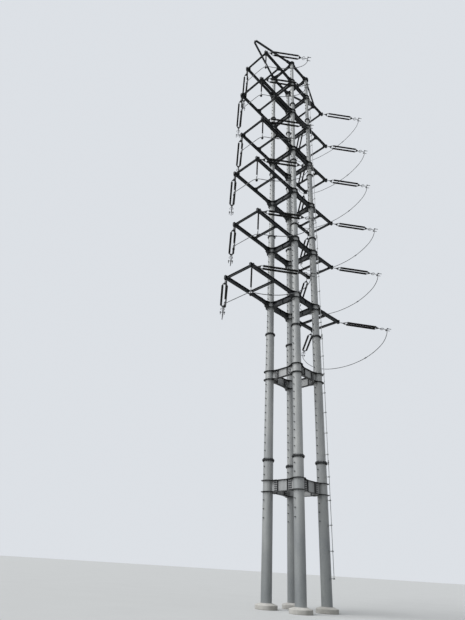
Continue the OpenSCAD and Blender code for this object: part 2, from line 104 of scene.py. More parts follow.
# Sizes of the strings and jumpers, as in the part's source
TIP_HOLE_R = 0.013
EYE_R = 0.028
EYE_OUT = 0.03
FITTING_R = 0.016
FITTING_L = 0.05
YOKE_T = 0.012
YOKE_L = 0.13
BAR_R = 0.01
LINK_L = 0.17
INSULATOR_L = 1.47
TAIL_L = 0.38
SHED_R = 0.044
TWIN = 0.185
CLAMP_R = 0.017
CLAMP_L = 0.19
CONDUCTOR_R = 0.007
CONDUCTOR_L = 0.11
TERMINAL_R = 0.018
TERMINAL_L = 0.052
RIGHT_ANGLE, RIGHT_SLOPE = 41, 4
AWAY_ANGLE, AWAY_SLOPE = 48, 6.5
SUPPORT_DROP = 1.27
SUPPORT_TURN = 30
SUPPORT_R = 0.03
WEIGHT_R = 0.0575
WEIGHT_H = 0.115
JUMPER_D = 0.03
STRING_L = LINK_L + 2 * YOKE_L + INSULATOR_L + TAIL_L
EYE_Y = ARM_W / 2 + EYE_OUT
EYE_Z = PLATE_T / 2 - ARM_DEPTH / 2


def column_r(z):
    return SECTION_R[sum(z >= joint for joint in JOINTS)]


def string_direction(angle, slope):
    a, b = math.radians(angle), math.radians(slope)
    return Vector((math.cos(b) * math.cos(a), math.cos(b) * math.sin(a), -math.sin(b)))


RIGHT_DIR = string_direction(-RIGHT_ANGLE, RIGHT_SLOPE)
AWAY_DIR = string_direction(AWAY_ANGLE, AWAY_SLOPE)


def placed(name, data):
    """New object with this data, in the scene."""
    obj = bpy.data.objects.new(name, data)
    bpy.context.scene.collection.objects.link(obj)
    return obj


# Camera, fitted to the photograph

CAMERA_AT = (-13.364, -10.089, 1.101)
CAMERA_HEADING = (0.69223, 0.72168)
CAMERA_PITCH = 29.576
CAMERA_ROLL = 3.575
CAMERA_CLIP = 2000
LENS = 26.373


def make_camera():
    p, r = math.radians(CAMERA_PITCH), math.radians(CAMERA_ROLL)
    hx, hy = CAMERA_HEADING
    right = Vector((hy, -hx, 0))
    forward = Vector((math.cos(p) * hx, math.cos(p) * hy, math.sin(p)))
    up = Vector((-math.sin(p) * hx, -math.sin(p) * hy, math.cos(p)))
    x = math.cos(r) * right + math.sin(r) * up
    y = -math.sin(r) * right + math.cos(r) * up
    data = bpy.data.cameras.new("camera")
    data.lens = LENS
    data.clip_end = CAMERA_CLIP
    cam = placed("camera", data)
    turn = Matrix((x, y, -forward)).transposed()
    cam.matrix_world = Matrix.Translation(CAMERA_AT) @ turn.to_4x4()
    bpy.context.scene.camera = cam


make_camera()


# Shapes: each returns its points and faces

def slab(low, high):
    (a, b, c), (d, e, f) = low, high
    points = [(a, b, c), (d, b, c), (d, e, c), (a, e, c), (a, b, f), (d, b, f), (d, e, f), (a, e, f)]
    faces = [(3, 2, 1, 0), (4, 5, 6, 7), (0, 1, 5, 4), (1, 2, 6, 5), (2, 3, 7, 6), (3, 0, 4, 7)]
    return points, faces


def prism(outline, z0, z1):
    """The outline, anticlockwise seen from above, between two heights."""
    n = len(outline)
    points = [(x, y, z0) for x, y in outline] + [(x, y, z1) for x, y in outline]
    faces = [tuple(reversed(range(n))), tuple(range(n, 2 * n))]
    faces += [(i, (i + 1) % n, (i + 1) % n + n, i + n) for i in range(n)]
    return points, faces


def polygon(sides, r):
    steps = [2 * math.pi * i / sides for i in range(sides)]
    return [(r * math.cos(a), r * math.sin(a)) for a in steps]


def turned(profile, sides):
    """Points of (radius, height) turned about Z, from axis to axis or as a closed loop off it."""
    points, rings, faces = [], [], []
    for r, z in profile:
        if r == 0:
            rings.append([len(points)] * sides)
            points.append((0, 0, z))
        else:
            rings.append(list(range(len(points), len(points) + sides)))
            points += [(x, y, z) for x, y in polygon(sides, r)]
    pairs = list(zip(rings, rings[1:]))
    if profile[0][0] > 0:
        pairs.append((rings[-1], rings[0]))
    for low, high in pairs:
        for i in range(sides):
            j = (i + 1) % sides
            face = list(dict.fromkeys((low[i], low[j], high[j], high[i])))
            if len(face) > 2:
                faces.append(tuple(face))
    return points, faces


def swept(path, r, sides):
    """A round bar along a path of points."""
    path = [Vector(p) for p in path]
    points, faces = [], []
    side = None
    for i, p in enumerate(path):
        before, after = path[max(i - 1, 0)], path[min(i + 1, len(path) - 1)]
        along = (after - before).normalized()
        if side is None:
            side = along.orthogonal().normalized()
        side = (side - side.dot(along) * along).normalized()
        other = along.cross(side)
        points += [tuple(p + x * side + y * other) for x, y in polygon(sides, r)]
    last = (len(path) - 1) * sides
    for a in range(0, last, sides):
        b = a + sides
        faces += [(a + j, a + (j + 1) % sides, b + (j + 1) % sides, b + j) for j in range(sides)]
    return points, faces + [tuple(reversed(range(sides))), tuple(range(last, last + sides))]


def bolt(size):
    """Hexagonal head on a washer, on the plane z = 0. Size is the head's radius over its corners."""
    washer_r, washer_top, head_top = 1.2 * size, 0.15 * size, 0.85 * size
    points, faces = prism(polygon(8, washer_r), 0, washer_top)
    head, sides = prism(polygon(6, size), washer_top, head_top)
    return points + head, faces + [tuple(i + len(points) for i in f) for f in sides]


def rounded(outline, r, steps=4):
    """An anticlockwise outline with its corners rounded."""
    out = []
    count = len(outline)
    for i in range(count):
        a, b, c = (Vector(outline[(i + d) % count]) for d in (-1, 0, 1))
        u, v = (a - b).normalized(), (c - b).normalized()
        back = r / math.tan(u.angle(v) / 2)
        start, end = b + u * back, b + v * back
        for n in range(steps + 1):
            t = n / steps
            out.append(tuple((1 - t) ** 2 * start + 2 * t * (1 - t) * b + t * t * end))
    return out


def spread(count, length):
    """Middles of equal parts of a length about 0."""
    return [length * ((i + 0.5) / count - 0.5) for i in range(count)]


class Form:
    """Many small shapes joined in one mesh."""

    def __init__(self):
        self.points, self.faces, self.count = [], [], 0

    def add(self, shape, place):
        points, faces = shape
        m = np.array(place)
        points = np.asarray(points, float) @ m[:3, :3].T + m[:3, 3]
        if np.linalg.det(m[:3, :3]) < 0:
            faces = [tuple(reversed(f)) for f in faces]
        self.points.append(points)
        self.faces += [tuple(i + self.count for i in f) for f in faces]
        self.count += len(points)

    def piece(self, name, material, slot, smooth_under=None):
        mesh = bpy.data.meshes.new(name)
        mesh.from_pydata(np.vstack(self.points).tolist(), [], self.faces)
        mesh.materials.append(material)
        if smooth_under:
            mesh.shade_smooth()
            mesh.set_sharp_from_angle(angle=math.radians(smooth_under))
        obj = placed(name, mesh)
        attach(obj, BODY)
        return obj


def at(x, y, z):
    return Matrix.Translation((x, y, z))


def turns_about(axis):
    return lambda degrees: Matrix.Rotation(math.radians(degrees), 4, axis)


turn_x, turn_y, turn_z = (turns_about(axis) for axis in "XYZ")


def bolt_through(form, place, size, x, face):
    """Bolt heads on both faces of a flat plate, which are at z = face and z = -face."""
    form.add(bolt(size), place @ at(x, 0, face))
    form.add(bolt(size), place @ at(x, 0, -face) @ turn_x(180))


# Materials

# Sockets of a Mix node that mixes colours
MIX_FACTOR, MIX_A, MIX_B, MIX_RESULT = 0, 6, 7, 2


def new_material(name):
    material = bpy.data.materials.new(name)
    material.use_nodes = True
    tree = material.node_tree
    shader = tree.nodes["Principled BSDF"]
    return material, tree, shader


def fill(tree, node, values):
    """Gives inputs, by name or number, another node's output, a number, a vector or a colour."""
    for key, value in values.items():
        socket = node.inputs[key]
        if hasattr(value, "is_output"):
            tree.links.new(value, socket)
        elif hasattr(value, "__len__"):
            socket.default_value = (*value, 1)[:len(socket.default_value)]
        else:
            socket.default_value = value


def new_node(tree, kind, values=None):
    node = tree.nodes.new("ShaderNode" + kind)
    fill(tree, node, values or {})
    return node


def computed(tree, operation, *values):
    """Output of a Math node."""
    node = new_node(tree, "Math")
    node.operation = operation
    fill(tree, node, dict(enumerate(values)))
    return node.outputs[0]


def noise(tree, scale, stretch=(1, 1, 1), detail=4.0, roughness=0.55):
    """Noise in object space, which a stretch under 1 draws out along that axis."""
    place = new_node(tree, "TexCoord").outputs["Object"]
    mapping = new_node(tree, "Mapping", {"Vector": place, "Scale": stretch}).outputs["Vector"]
    values = {"Vector": mapping, "Scale": scale, "Detail": detail, "Roughness": roughness}
    return new_node(tree, "TexNoise", values).outputs["Fac"]


def crystals(tree, scale):
    place = new_node(tree, "TexCoord").outputs["Object"]
    return new_node(tree, "TexVoronoi", {"Vector": place, "Scale": scale}).outputs["Color"]


def ramp(tree, value, low, high, start=0.3, end=0.7):
    """Colour or grey that goes from low to high as the value goes from start to end."""
    node = new_node(tree, "ValToRGB", {"Fac": value})
    for element, position, colour in zip(node.color_ramp.elements, (start, end), (low, high)):
        element.position = position
        element.color = (*colour, 1) if hasattr(colour, "__len__") else (colour, colour, colour, 1)
    return node.outputs["Color"]


def mixed(tree, kind, amount, a, b):
    """Output of a Mix node over two colours."""
    node = new_node(tree, "Mix")
    node.data_type = "RGBA"
    node.blend_type = kind
    fill(tree, node, {MIX_FACTOR: amount, MIX_A: a, MIX_B: b})
    return node.outputs[MIX_RESULT]


def tinted(tree, colour, mask, tint):
    """The colour, multiplied by the tint where the mask is 1."""
    return mixed(tree, "MIX", mask, colour, mixed(tree, "MULTIPLY", 1.0, colour, tint))


def bumped(tree, height, strength, distance):
    """Normal of a surface with this relief."""
    values = {"Strength": strength, "Distance": distance, "Height": height}
    return new_node(tree, "Bump", values).outputs["Normal"]


def upward(tree, what):
    """Z of the surface's Position or Normal."""
    vector = new_node(tree, "NewGeometry").outputs[what]
    return new_node(tree, "SeparateXYZ", {"Vector": vector}).outputs["Z"]


def near_height(tree, heights, reach):
    """1 within reach of one of the heights, 0 elsewhere."""
    z = upward(tree, "Position")
    total = 0.0
    for height in heights:
        total = computed(tree, "MAXIMUM", total, computed(tree, "COMPARE", z, height, reach))
    return total


# Steel at or under this share of bare metal is coated, and dull
COATED = 0.15
COATED_GLOSS, BARE_GLOSS = 0.2, 0.5

# Scales of the zinc's patterns, and how strong its streaks and the concrete's damp patches are
CLOUDS, SPANGLES, STREAKS, GRAIN = 1.6, 55, 9, 30
STREAK_SHARE = 0.55
DAMP_SHARE = 0.4
# Reach and tint of the bands at the flanges, which are painted shade with some grime
BAND_REACH = FLANGE_T + 0.001
FLANGE_SHADE_AND_GRIME_TINT = (0.08, 0.08, 0.085)
# Tint of the faces that look down: painted shade
UNDERSIDE_SHADE_TINT = (0.10, 0.10, 0.105)
# Tint at the ground: painted shade that darkens the metal towards the ground
FOOT_SHADE_TINT = (0.68, 0.70, 0.71)


def galvanised(name, light, dark, metallic, stain, shade_and_grime_bands=(), painted_shade_below=False, foot_shade_top=0.0):
    """Weathered zinc or coated steel: cloudy patches, fine crystals and run-off streaks down the metal.

    shade_and_grime_bands tints it near those heights with painted shade and some grime, painted_shade_below
    tints the faces that look down with painted shade, and foot_shade_top is the height under which painted
    shade makes it darker towards the ground.
    """
    material, tree, shader = new_material(name)
    cloud = ramp(tree, noise(tree, CLOUDS, (1, 1, 0.45)), dark, light)
    spangle = ramp(tree, crystals(tree, SPANGLES), 0.86, 1.0, 0.1, 0.9)
    colour = mixed(tree, "MULTIPLY", 0.8, cloud, spangle)
    streaks = ramp(tree, noise(tree, STREAKS, (1, 1, 0.06), 5), 0.0, 1.0, 0.52, 0.78)
    colour = mixed(tree, "MIX", computed(tree, "MULTIPLY", streaks, STREAK_SHARE), colour, stain)
    # Painted shade, with some grime, in bands at the flanges
    if shade_and_grime_bands:
        colour = tinted(tree, colour, near_height(tree, shade_and_grime_bands, BAND_REACH), FLANGE_SHADE_AND_GRIME_TINT)
    # Painted shade on the faces that look down
    if painted_shade_below:
        down = computed(tree, "MULTIPLY", upward(tree, "Normal"), -1)
        colour = tinted(tree, colour, ramp(tree, down, 0.0, 1.0, 0.4, 0.8), UNDERSIDE_SHADE_TINT)
    # Painted shade, darker towards the ground
    if foot_shade_top:
        height = computed(tree, "DIVIDE", upward(tree, "Position"), foot_shade_top)
        colour = mixed(tree, "MULTIPLY", 1.0, colour, ramp(tree, height, FOOT_SHADE_TINT, (1, 1, 1), 0.1, 1.0))
    grain = noise(tree, GRAIN, (1, 1, 0.6), 6)
    fill(tree, shader, {
        "Base Color": colour, "Metallic": metallic, "Roughness": ramp(tree, grain, 0.42, 0.62),
        "Specular IOR Level": COATED_GLOSS if metallic <= COATED else BARE_GLOSS,
        "Normal": bumped(tree, grain, 0.12, 0.004),
    })
    return material


def concrete(name):
    """Weathered concrete: cloudy greys, fine sand and pits, and darker damp patches."""
    material, tree, shader = new_material(name)
    cloud = ramp(tree, noise(tree, 5, detail=8), (0.47, 0.46, 0.43), (0.64, 0.63, 0.60))
    sand = ramp(tree, noise(tree, 130, detail=3), 0.82, 1.0)
    colour = mixed(tree, "MULTIPLY", 0.7, cloud, sand)
    damp = ramp(tree, noise(tree, 7, (1, 1, 0.3), 6), 0.0, 1.0, 0.56, 0.78)
    colour = mixed(tree, "MIX", computed(tree, "MULTIPLY", damp, DAMP_SHARE), colour, (0.30, 0.29, 0.26))
    pits = bumped(tree, noise(tree, 60, detail=10, roughness=0.7), 0.35, 0.004)
    fill(tree, shader, {"Base Color": colour, "Roughness": 0.92, "Normal": pits})
    return material


def rubber(name, colour, dust):
    """Matt silicone rubber, dusty on the faces that look up."""
    material, tree, shader = new_material(name)
    patches = ramp(tree, noise(tree, 12), 0.75, 1.0)
    base = mixed(tree, "MULTIPLY", 1.0, patches, colour)
    looks_up = ramp(tree, upward(tree, "Normal"), 0.0, 0.45, 0.55, 1.0)
    settled = computed(tree, "MULTIPLY", looks_up, patches)
    fill(tree, shader, {
        "Base Color": mixed(tree, "MIX", settled, base, dust), "Specular IOR Level": COATED_GLOSS,
        "Roughness": ramp(tree, noise(tree, 25), 0.5, 0.68),
        "Normal": bumped(tree, noise(tree, 90), 0.15, 0.001),
    })
    return material


def stranded(name):
    """Bare stranded aluminium, its strands wound round the cable by the mesh's own coordinates."""
    material, tree, shader = new_material(name)
    place = new_node(tree, "UVMap")
    place.uv_map = "cable"
    split = new_node(tree, "SeparateXYZ", {"Vector": place.outputs["UV"]})
    wave = computed(tree, "SINE", computed(tree, "ADD", split.outputs["X"], split.outputs["Y"]))
    height = computed(tree, "MULTIPLY_ADD", wave, 0.5, 0.5)
    tarnish = ramp(tree, noise(tree, 6), (0.11, 0.113, 0.117), (0.22, 0.225, 0.23))
    grooves = ramp(tree, height, 0.45, 1.0, 0.0, 0.5)
    fill(tree, shader, {
        "Base Color": mixed(tree, "MULTIPLY", 1.0, tarnish, grooves), "Metallic": 0.6,
        "Roughness": ramp(tree, noise(tree, 20), 0.45, 0.62), "Normal": bumped(tree, height, 0.6, 0.002),
    })
    return material


# Each metal has a light and a dark colour, its share of bare metal and the colour of its streaks

RING_FLANGES = [z + side * depth / 2 for z, depth in RINGS.values() for side in BOTH]
# The columns get painted shade with some grime at the flanges, and painted shade that darkens them towards the
# ground
COLUMN_ZINC = galvanised(
    "column_zinc", (0.50, 0.51, 0.50), (0.36, 0.375, 0.385), 0.25, (0.27, 0.275, 0.27),
    shade_and_grime_bands=JOINTS + RING_FLANGES, foot_shade_top=JOINTS[0])
# The rings get painted shade with some grime at their flanges, and painted shade on their faces that look down
RING_ZINC = galvanised(
    "ring_zinc", (0.49, 0.50, 0.50), (0.34, 0.35, 0.355), 0.25, (0.24, 0.24, 0.235),
    shade_and_grime_bands=RING_FLANGES, painted_shade_below=True)
# Ring splice plates and stiffeners, darkened as painted shade
SPLICE_SHADE_ZINC = galvanised("splice_painted_shade_zinc", (0.075, 0.078, 0.082), (0.045, 0.047, 0.05), 0.3, (0.04, 0.04, 0.038))
# Bolts and ribs of the column joints, darkened as painted shade at the flanges, with some grime
JOINT_SHADE_AND_GRIME_STEEL = galvanised(
    "joint_painted_shade_and_grime_steel", (0.045, 0.047, 0.05), (0.028, 0.029, 0.031), 0.3, (0.024, 0.023, 0.022))
ARM_STEEL = galvanised(
    "arm_steel", (0.047, 0.051, 0.055), (0.030, 0.033, 0.036), 0.15, (0.022, 0.023, 0.022))
# Ring bolts, brightened as painted highlights
HIGHLIGHT_BOLT_ZINC = galvanised("painted_highlight_bolt_zinc", (0.72, 0.73, 0.73), (0.58, 0.59, 0.59), 0.4, (0.45, 0.45, 0.44))
BOLT_ZINC = galvanised("bolt_zinc", (0.42, 0.43, 0.43), (0.25, 0.26, 0.26), 0.5, (0.16, 0.15, 0.14))
FITTING_ZINC = galvanised(
    "fitting_zinc", (0.085, 0.088, 0.092), (0.045, 0.047, 0.05), 0.35, (0.04, 0.038, 0.035))
CLAMP_METAL = galvanised("clamp_metal", (0.12, 0.123, 0.127), (0.065, 0.067, 0.07), 0.4, (0.05, 0.049, 0.047))
ALUMINIUM = galvanised("clamp_aluminium", (0.56, 0.57, 0.58), (0.42, 0.43, 0.44), 0.6, (0.30, 0.30, 0.30))
WEIGHT_PAINT = galvanised(
    "weight_paint", (0.016, 0.016, 0.017), (0.010, 0.010, 0.011), 0.1, (0.025, 0.022, 0.019))
CONCRETE = concrete("pedestal_concrete")
SILICONE = rubber("silicone", (0.015, 0.0145, 0.0135), (0.035, 0.034, 0.030))
CABLE = stranded("stranded_aluminium")


def dress(names, material):
    for name in names:
        slots = NODES[name].data.materials
        slots.clear()
        slots.append(material)


dress([f"column_section_{k}" for k in NUMBERS] + ["climbing_rail"], COLUMN_ZINC)
dress(RINGS, RING_ZINC)
dress([f"crossarm_{k}" for k in NUMBERS], ARM_STEEL)
dress(["top_frame", "outer_earth_wire_arm", "inner_earth_wire_arm"], ARM_STEEL)


# Jumper cables, along the same points as in the part's source, in millimetres from the arm tip

INNER_ROUTE = [
    [1718, -1571, -330], [1720, -1550, -425], [1715, -1500, -560], [1710, -1405, -720],
    [1700, -1255, -890], [1690, -1030, -1060], [1680, -740, -1220], [1670, -390, -1360],
    [1655, 0, -1460], [1640, 400, -1520], [1620, 800, -1540], [1600, 1200, -1525],
    [1585, 1590, -1475], [1570, 1945, -1390], [1555, 2260, -1275], [1545, 2535, -1130],
    [1535, 2760, -970], [1525, 2930, -810], [1520, 3050, -650], [1517, 3125, -530],
    [1516, 3158, -450],
]
OUTER_ROUTE = [
    [1715, -1571, -330], [1705, -1560, -430], [1672, -1532, -570], [1615, -1480, -720],
    [1530, -1400, -870], [1415, -1295, -1000], [1270, -1162, -1110], [1095, -1002, -1200],
    [900, -825, -1265], [700, -645, -1300], [500, -465, -1310], [315, -295, -1300],
    [148, -155, -1280], [18, -31, -1270], [-18, 31, -1270], [-58, 170, -1275],
    [-72, 420, -1283], [-75, 700, -1287], [-72, 980, -1283], [-58, 1230, -1275],
    [-18, 1369, -1270], [18, 1431, -1270], [130, 1580, -1284], [280, 1755, -1300],
    [455, 1955, -1295], [630, 2160, -1270],
    [805, 2365, -1215], [970, 2555, -1135], [1120, 2722, -1030], [1245, 2865, -905],
    [1348, 2980, -765], [1428, 3066, -620], [1485, 3128, -510], [1510, 3157, -440],
]
MM_IN_M = 1000
CABLE_STEPS = 6
CABLE_SIDES = 12
STRANDS = 18
STRAND_LAY = 0.22
SPACER_AT = 0.3
SPACER_L = 0.11
SPACER_R = 0.026
SPACER_LIP = 0.004
SPACER_TAPER = 0.012
SPACER_BAND = 0.018
SPACER_BOLT = 0.007
SPACER_SIDES = 16


def smooth_route(points):
    """Catmull-Rom curve through the points."""
    p = [Vector(points[0])] + [Vector(q) for q in points] + [Vector(points[-1])]
    out = []
    for a, b, c, d in zip(p, p[1:], p[2:], p[3:]):
        for i in range(CABLE_STEPS):
            t = i / CABLE_STEPS
            square, cube = 2 * a - 5 * b + 4 * c - d, 3 * b - a - 3 * c + d
            out.append(0.5 * (2 * b + (c - a) * t + square * t * t + cube * t ** 3))
    return out + [p[-1]]


def distances(path):
    """Distance of each point along the path."""
    gone = [0.0]
    for a, b in zip(path, path[1:]):
        gone.append(gone[-1] + (b - a).length)
    return gone


def make_spacer(name, path, gone):
    """Clamp sleeve round the cable, with two bolted bands."""
    where = gone[-1] * SPACER_AT
    i = next(n for n, d in enumerate(gone) if d > where)
    along = (path[i] - path[i - 1]).normalized()
    centre = path[i - 1] + along * (where - gone[i - 1])
    place = Matrix.Translation(centre) @ along.to_track_quat("Z", "X").to_matrix().to_4x4()
    half, inner, outer = SPACER_L / 2, JUMPER_D / 2, SPACER_R - SPACER_LIP
    form = Form()
    form.add(turned([
        (inner, -half), (inner + SPACER_LIP, -half), (outer, -half + SPACER_TAPER),
        (outer, half - SPACER_TAPER), (inner + SPACER_LIP, half), (inner, half),
    ], SPACER_SIDES), place)
    for z in (-half / 2, half / 2):
        low, high = z - SPACER_BAND / 2, z + SPACER_BAND / 2
        form.add(turned([(inner, low), (SPACER_R, low), (SPACER_R, high), (inner, high)], SPACER_SIDES), place)
        form.add(bolt(SPACER_BOLT), place @ at(0, 0, z) @ turn_y(90) @ at(0, 0, SPACER_R - 0.001))
    return form.piece(name, WEIGHT_PAINT, "cable", smooth_under=40)


def wind_strands(piece, gone):
    """UV layer in which U + V grows by a full turn from one strand to the next, and winds round the cable."""
    layer = piece.data.uv_layers.new(name="cable")
    whole = 2 * math.pi * STRANDS
    for face in piece.data.polygons:
        corners = list(face.vertices)
        around = [v % CABLE_SIDES for v in corners]
        wraps = 0 in around and CABLE_SIDES - 1 in around and len(corners) == 4
        for loop, v, j in zip(face.loop_indices, corners, around):
            j = CABLE_SIDES if wraps and j == 0 else j
            layer.data[loop].uv = (whole * j / CABLE_SIDES, whole * gone[v // CABLE_SIDES] / STRAND_LAY)


def jumper(node, x, z, route):
    under = Vector((0, 0, -TERMINAL_L))
    start = Vector((0, -EYE_Y, EYE_Z)) + STRING_L * RIGHT_DIR + under
    end = Vector((0, PITCH + EYE_Y, EYE_Z)) + STRING_L * AWAY_DIR + under
    points = [start] + [Vector(p) / MM_IN_M for p in route] + [end]
    path = [p + Vector((x, 0, z)) for p in smooth_route(points)]
    gone = distances(path)
    length = gone[-1]
    form = Form()
    form.add(swept(path, JUMPER_D / 2, CABLE_SIDES), Matrix.Identity(4))
    piece = form.piece(node.replace("jumper", "jumper_cable"), CABLE, "cable", smooth_under=60)
    wind_strands(piece, gone)
    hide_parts(node)
    spacer = make_spacer(node.replace("jumper", "jumper_spacer"), path, gone)
    return length


for k in range(LEVEL_COUNT):
    outer_length = jumper(f"outer_jumper_{k + 1}", -OUTER_REACH[k], TIP_Z[k], OUTER_ROUTE)
    inner_length = jumper(f"inner_jumper_{k + 1}", PITCH + INNER_REACH[k], TIP_Z[k], INNER_ROUTE)
print("jumpers", round(outer_length, 3), round(inner_length, 3))


# Pedestals

PEDESTAL_SIDES = 72
PEDESTAL_SLOPE_H = 0.05
PEDESTAL_RIM = 0.02
SOCKET_PRESS = 0.004
SOCKET_Z = 0.075
NEAR_AXIS = 0.001


def make_pedestal(node):
    """The cast pedestal with worn, rounded edges and the column's socket."""
    centre = middle(node)
    r, top = PEDESTAL_D / 2, PEDESTAL_H
    shoulder = top - PEDESTAL_SLOPE_H
    rim_r = SECTION_R[0] + PEDESTAL_RIM
    hole_r = SECTION_R[0] - SOCKET_PRESS
    profile = [
        (hole_r, SOCKET_Z), (NEAR_AXIS, SOCKET_Z), (NEAR_AXIS, 0), (r - 0.006, 0), (r - 0.001, 0.006),
        (r, 0.02), (r, 0.06), (r, 0.10), (r, shoulder - 0.012), (r - 0.003, shoulder - 0.004),
        (r - 0.012, shoulder + 0.003), (r - 0.06, top - 0.037), (r - 0.11, top - 0.022),
        (rim_r + 0.012, top - 0.004), (rim_r, top - 0.001), (hole_r, top),
    ]
    form = Form()
    form.add(turned(profile, PEDESTAL_SIDES), at(centre.x, centre.y, 0))
    piece = form.piece(f"cast_{node}", CONCRETE, "concrete", smooth_under=50)
    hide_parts(node)


for name in ("front_left", "front_right", "rear_left", "rear_right"):
    make_pedestal(f"{name}_pedestal")


# Column joints: bolts and ribs on the flanges

JOINT_BOLT = 0.0145
JOINT_BOLT_STEP = 0.078
JOINT_BOLT_AT = 0.56
STUD_R = 0.0075
STUD_L = 0.022
STUD_SIDES = 8
RIB_T = 0.010
RIB_H = 0.055
RIB_NOSE = 0.012
RIB_EDGE = 0.004
RIB_IN = 0.002


def rib(inner_r, outer_r):
    """Upright triangular plate that stands on z = 0, outwards along +X."""
    outline = [(inner_r, 0), (outer_r, 0), (outer_r, RIB_NOSE), (inner_r + RIB_NOSE, RIB_H), (inner_r, RIB_H)]
    points, faces = prism(outline, -RIB_T / 2, RIB_T / 2)
    return [(x, -z, y) for x, y, z in points], faces


def make_joint(i):
    below_r, above_r = SECTION_R[i], SECTION_R[i + 1]
    edge_r = below_r + FLANGE_REACH
    bolt_r = below_r + FLANGE_REACH * JOINT_BOLT_AT
    count = round(2 * math.pi * bolt_r / JOINT_BOLT_STEP)
    bolts, ribs = Form(), Form()
    for cx, cy in CORNERS:
        for n in range(count):
            turn = at(cx, cy, JOINTS[i]) @ turn_z(360 * n / count)
            under = turn @ at(bolt_r, 0, -FLANGE_T) @ turn_x(180)
            bolts.add(bolt(JOINT_BOLT), turn @ at(bolt_r, 0, FLANGE_T))
            bolts.add(bolt(JOINT_BOLT), under)
            bolts.add(prism(polygon(STUD_SIDES, STUD_R), 0, STUD_L), under)
            half = at(cx, cy, JOINTS[i]) @ turn_z(360 * (n + 0.5) / count)
            ribs.add(rib(above_r - RIB_IN, edge_r - RIB_EDGE), half @ at(0, 0, FLANGE_T))
            ribs.add(rib(below_r - RIB_IN, edge_r - RIB_EDGE), half @ at(0, 0, -FLANGE_T) @ turn_x(180))
    # Bolts and ribs in a colour darkened as painted shade, with some grime
    bolts.piece(f"joint_bolts_{i + 1}", JOINT_SHADE_AND_GRIME_STEEL, "ring_zinc")
    ribs.piece(f"joint_ribs_{i + 1}", JOINT_SHADE_AND_GRIME_STEEL, "ring_zinc")


for i in range(len(JOINTS)):
    make_joint(i)


# Step bolts, in one row on each column, clear of beams and joints

STEP_PITCH = 0.29
STEP_FROM = 2.7
STEP_TURN = 174
STEP_OUT = 0.05
STEP_R = 0.009
STEP_HEAD_R = 0.014
STEP_HEAD_L = 0.010
STEP_SOCKET_R = 0.018
STEP_SOCKET_L = 0.026
STEP_TAPER = 0.005
STEP_IN = 0.004
STEP_SIDES = 10
ARM_CLEAR, RING_CLEAR, JOINT_CLEAR = 0.16, 0.23, 0.12
KEPT_CLEAR = [(z, ARM_CLEAR) for z in LEVELS] + [(z, RING_CLEAR) for z, depth in RINGS.values()]
KEPT_CLEAR += [(z, JOINT_CLEAR) for z in JOINTS + [TOP_Z]]


def make_step_bolts():
    form = Form()
    head = STEP_OUT - STEP_HEAD_L
    stub = turned([
        (0, -STEP_IN), (STEP_SOCKET_R, -STEP_IN), (STEP_SOCKET_R, STEP_SOCKET_L),
        (STEP_R, STEP_SOCKET_L + STEP_TAPER), (STEP_R, head), (STEP_HEAD_R, head), (STEP_HEAD_R, STEP_OUT),
        (0, STEP_OUT),
    ], STEP_SIDES)
    for cx, cy in CORNERS:
        z = STEP_FROM
        while z < TOP_Z:
            if all(abs(z - c) > clear for c, clear in KEPT_CLEAR):
                form.add(stub, at(cx, cy, z) @ turn_z(STEP_TURN) @ at(column_r(z), 0, 0) @ turn_y(90))
            z += STEP_PITCH
    form.piece("step_bolts", FITTING_ZINC, "ring_zinc", smooth_under=40)


make_step_bolts()


# Climbing rail: clamps at its brackets and bolts on its splice blocks

RAIL_D = 0.022
RAIL_GAP = 0.09
RAIL_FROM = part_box("climbing_rail")[0].z
RAIL_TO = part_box("climbing_rail")[1].z
RAIL_BRACKET_PITCH = 0.8
RAIL_BRACKET_H = 0.02
RAIL_SPLICE_W = 0.03
RAIL_SPLICE_BOLTS = (-0.055, -0.02, 0.02, 0.055)
RAIL_BOLT = 0.008
JAW_R = 0.019
JAW_T = 0.006
JAW_OVER = 0.012
JAW_BOLT_Y = 0.022
FOOT_HALF = 0.03
FOOT_T = 0.012
FOOT_IN = 0.002
FOOT_BOLT = 0.007
FOOT_BOLT_X = 0.02
FOOT_BOLT_Z = 0.018


def rail_out(r):
    """Distance of the rail from the axis of a column of that radius."""
    return r + FLANGE_REACH + RAIL_GAP


def rail_clamp(plates, bolts, z):
    """Jaws that hold the rail at a bracket, and the bracket's foot plate on the column."""
    r = column_r(z)
    place = at(PITCH, -rail_out(r), z)
    low_z, high_z = -JAW_OVER, RAIL_BRACKET_H + JAW_OVER
    for side in BOTH:
        low, high = sorted((side * RAIL_D / 2, side * JAW_R))
        plates.add(slab((low, -JAW_R, low_z), (high, JAW_R + JAW_OVER, high_z)), place)
    plates.add(slab((-JAW_R, -JAW_R - JAW_T, low_z), (JAW_R, -JAW_R, high_z)), place)
    for side in BOTH:
        spot = at(side * JAW_R, JAW_BOLT_Y, RAIL_BRACKET_H / 2)
        bolts.add(bolt(RAIL_BOLT), place @ spot @ turn_y(90 * side))
    foot = rail_out(r) - r
    low = (-FOOT_HALF, foot - FOOT_T, -FOOT_HALF)
    plates.add(slab(low, (FOOT_HALF, foot + FOOT_IN, RAIL_BRACKET_H + FOOT_HALF)), place)
    for bx in (-FOOT_BOLT_X, FOOT_BOLT_X):
        for bz in (-FOOT_BOLT_Z, RAIL_BRACKET_H + FOOT_BOLT_Z):
            bolts.add(bolt(FOOT_BOLT), place @ at(bx, foot - FOOT_T, bz) @ turn_x(90))


